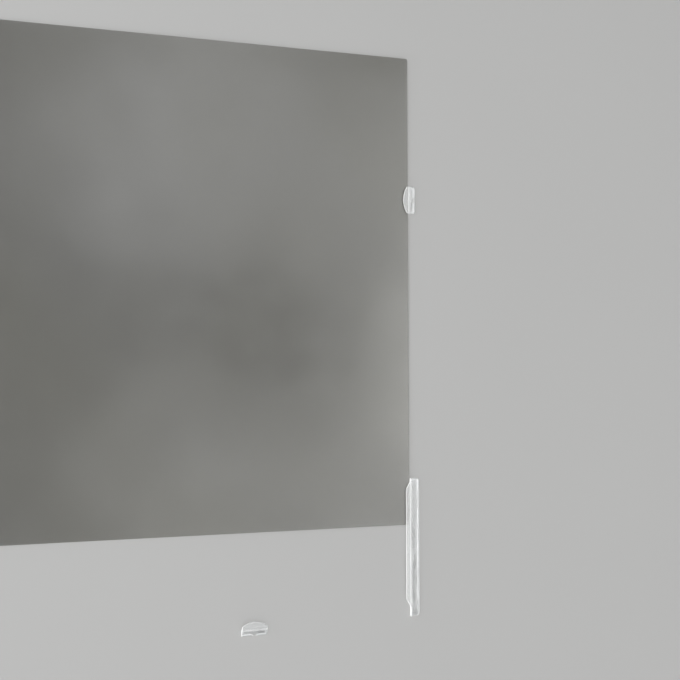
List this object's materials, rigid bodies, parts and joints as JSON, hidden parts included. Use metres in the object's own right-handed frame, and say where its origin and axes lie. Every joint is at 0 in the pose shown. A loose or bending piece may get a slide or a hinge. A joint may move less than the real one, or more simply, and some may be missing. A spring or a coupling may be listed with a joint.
{
  "type": "monitor screen filter",
  "caption": "Thin grey translucent film for a monitor that slides under the lips of clear moulded side guides, side tabs and bottom tabs, each held on the bezel by an adhesive strip.",
  "frame": {"origin": "centre of the film's back face, the face that lies towards the screen, at the drawn-up position", "axes": "+X to the film's right, +Y to its top, +Z out of its front; the part lies flat on its back"},
  "size_m": [0.545, 0.3617, 0.0019],
  "materials": {
    "film": "smoky grey translucent film, semi-gloss",
    "clear_plastic": "clear, slightly milky moulded plastic",
    "adhesive": "clear adhesive strip with patches of trapped air"
  },
  "bodies": {
    "holders": {"side_guide_right": "clear_plastic", "side_guide_left": "clear_plastic", "side_tab_right": "clear_plastic", "side_tab_left": "clear_plastic", "bottom_tab_right": "clear_plastic", "bottom_tab_left": "clear_plastic", "side_guide_right_adhesive": "adhesive", "side_guide_left_adhesive": "adhesive", "side_tab_right_adhesive": "adhesive", "side_tab_left_adhesive": "adhesive", "bottom_tab_right_adhesive": "adhesive", "bottom_tab_left_adhesive": "adhesive"},
    "filter": {"filter_film": "film"}
  },
  "joints": [
    {"name": "filter_slide", "type": "slide", "parent": "holders", "child": "filter", "axis": [0, 1, 0], "range_m": [-0.0582, 0.2085]}
  ]
}
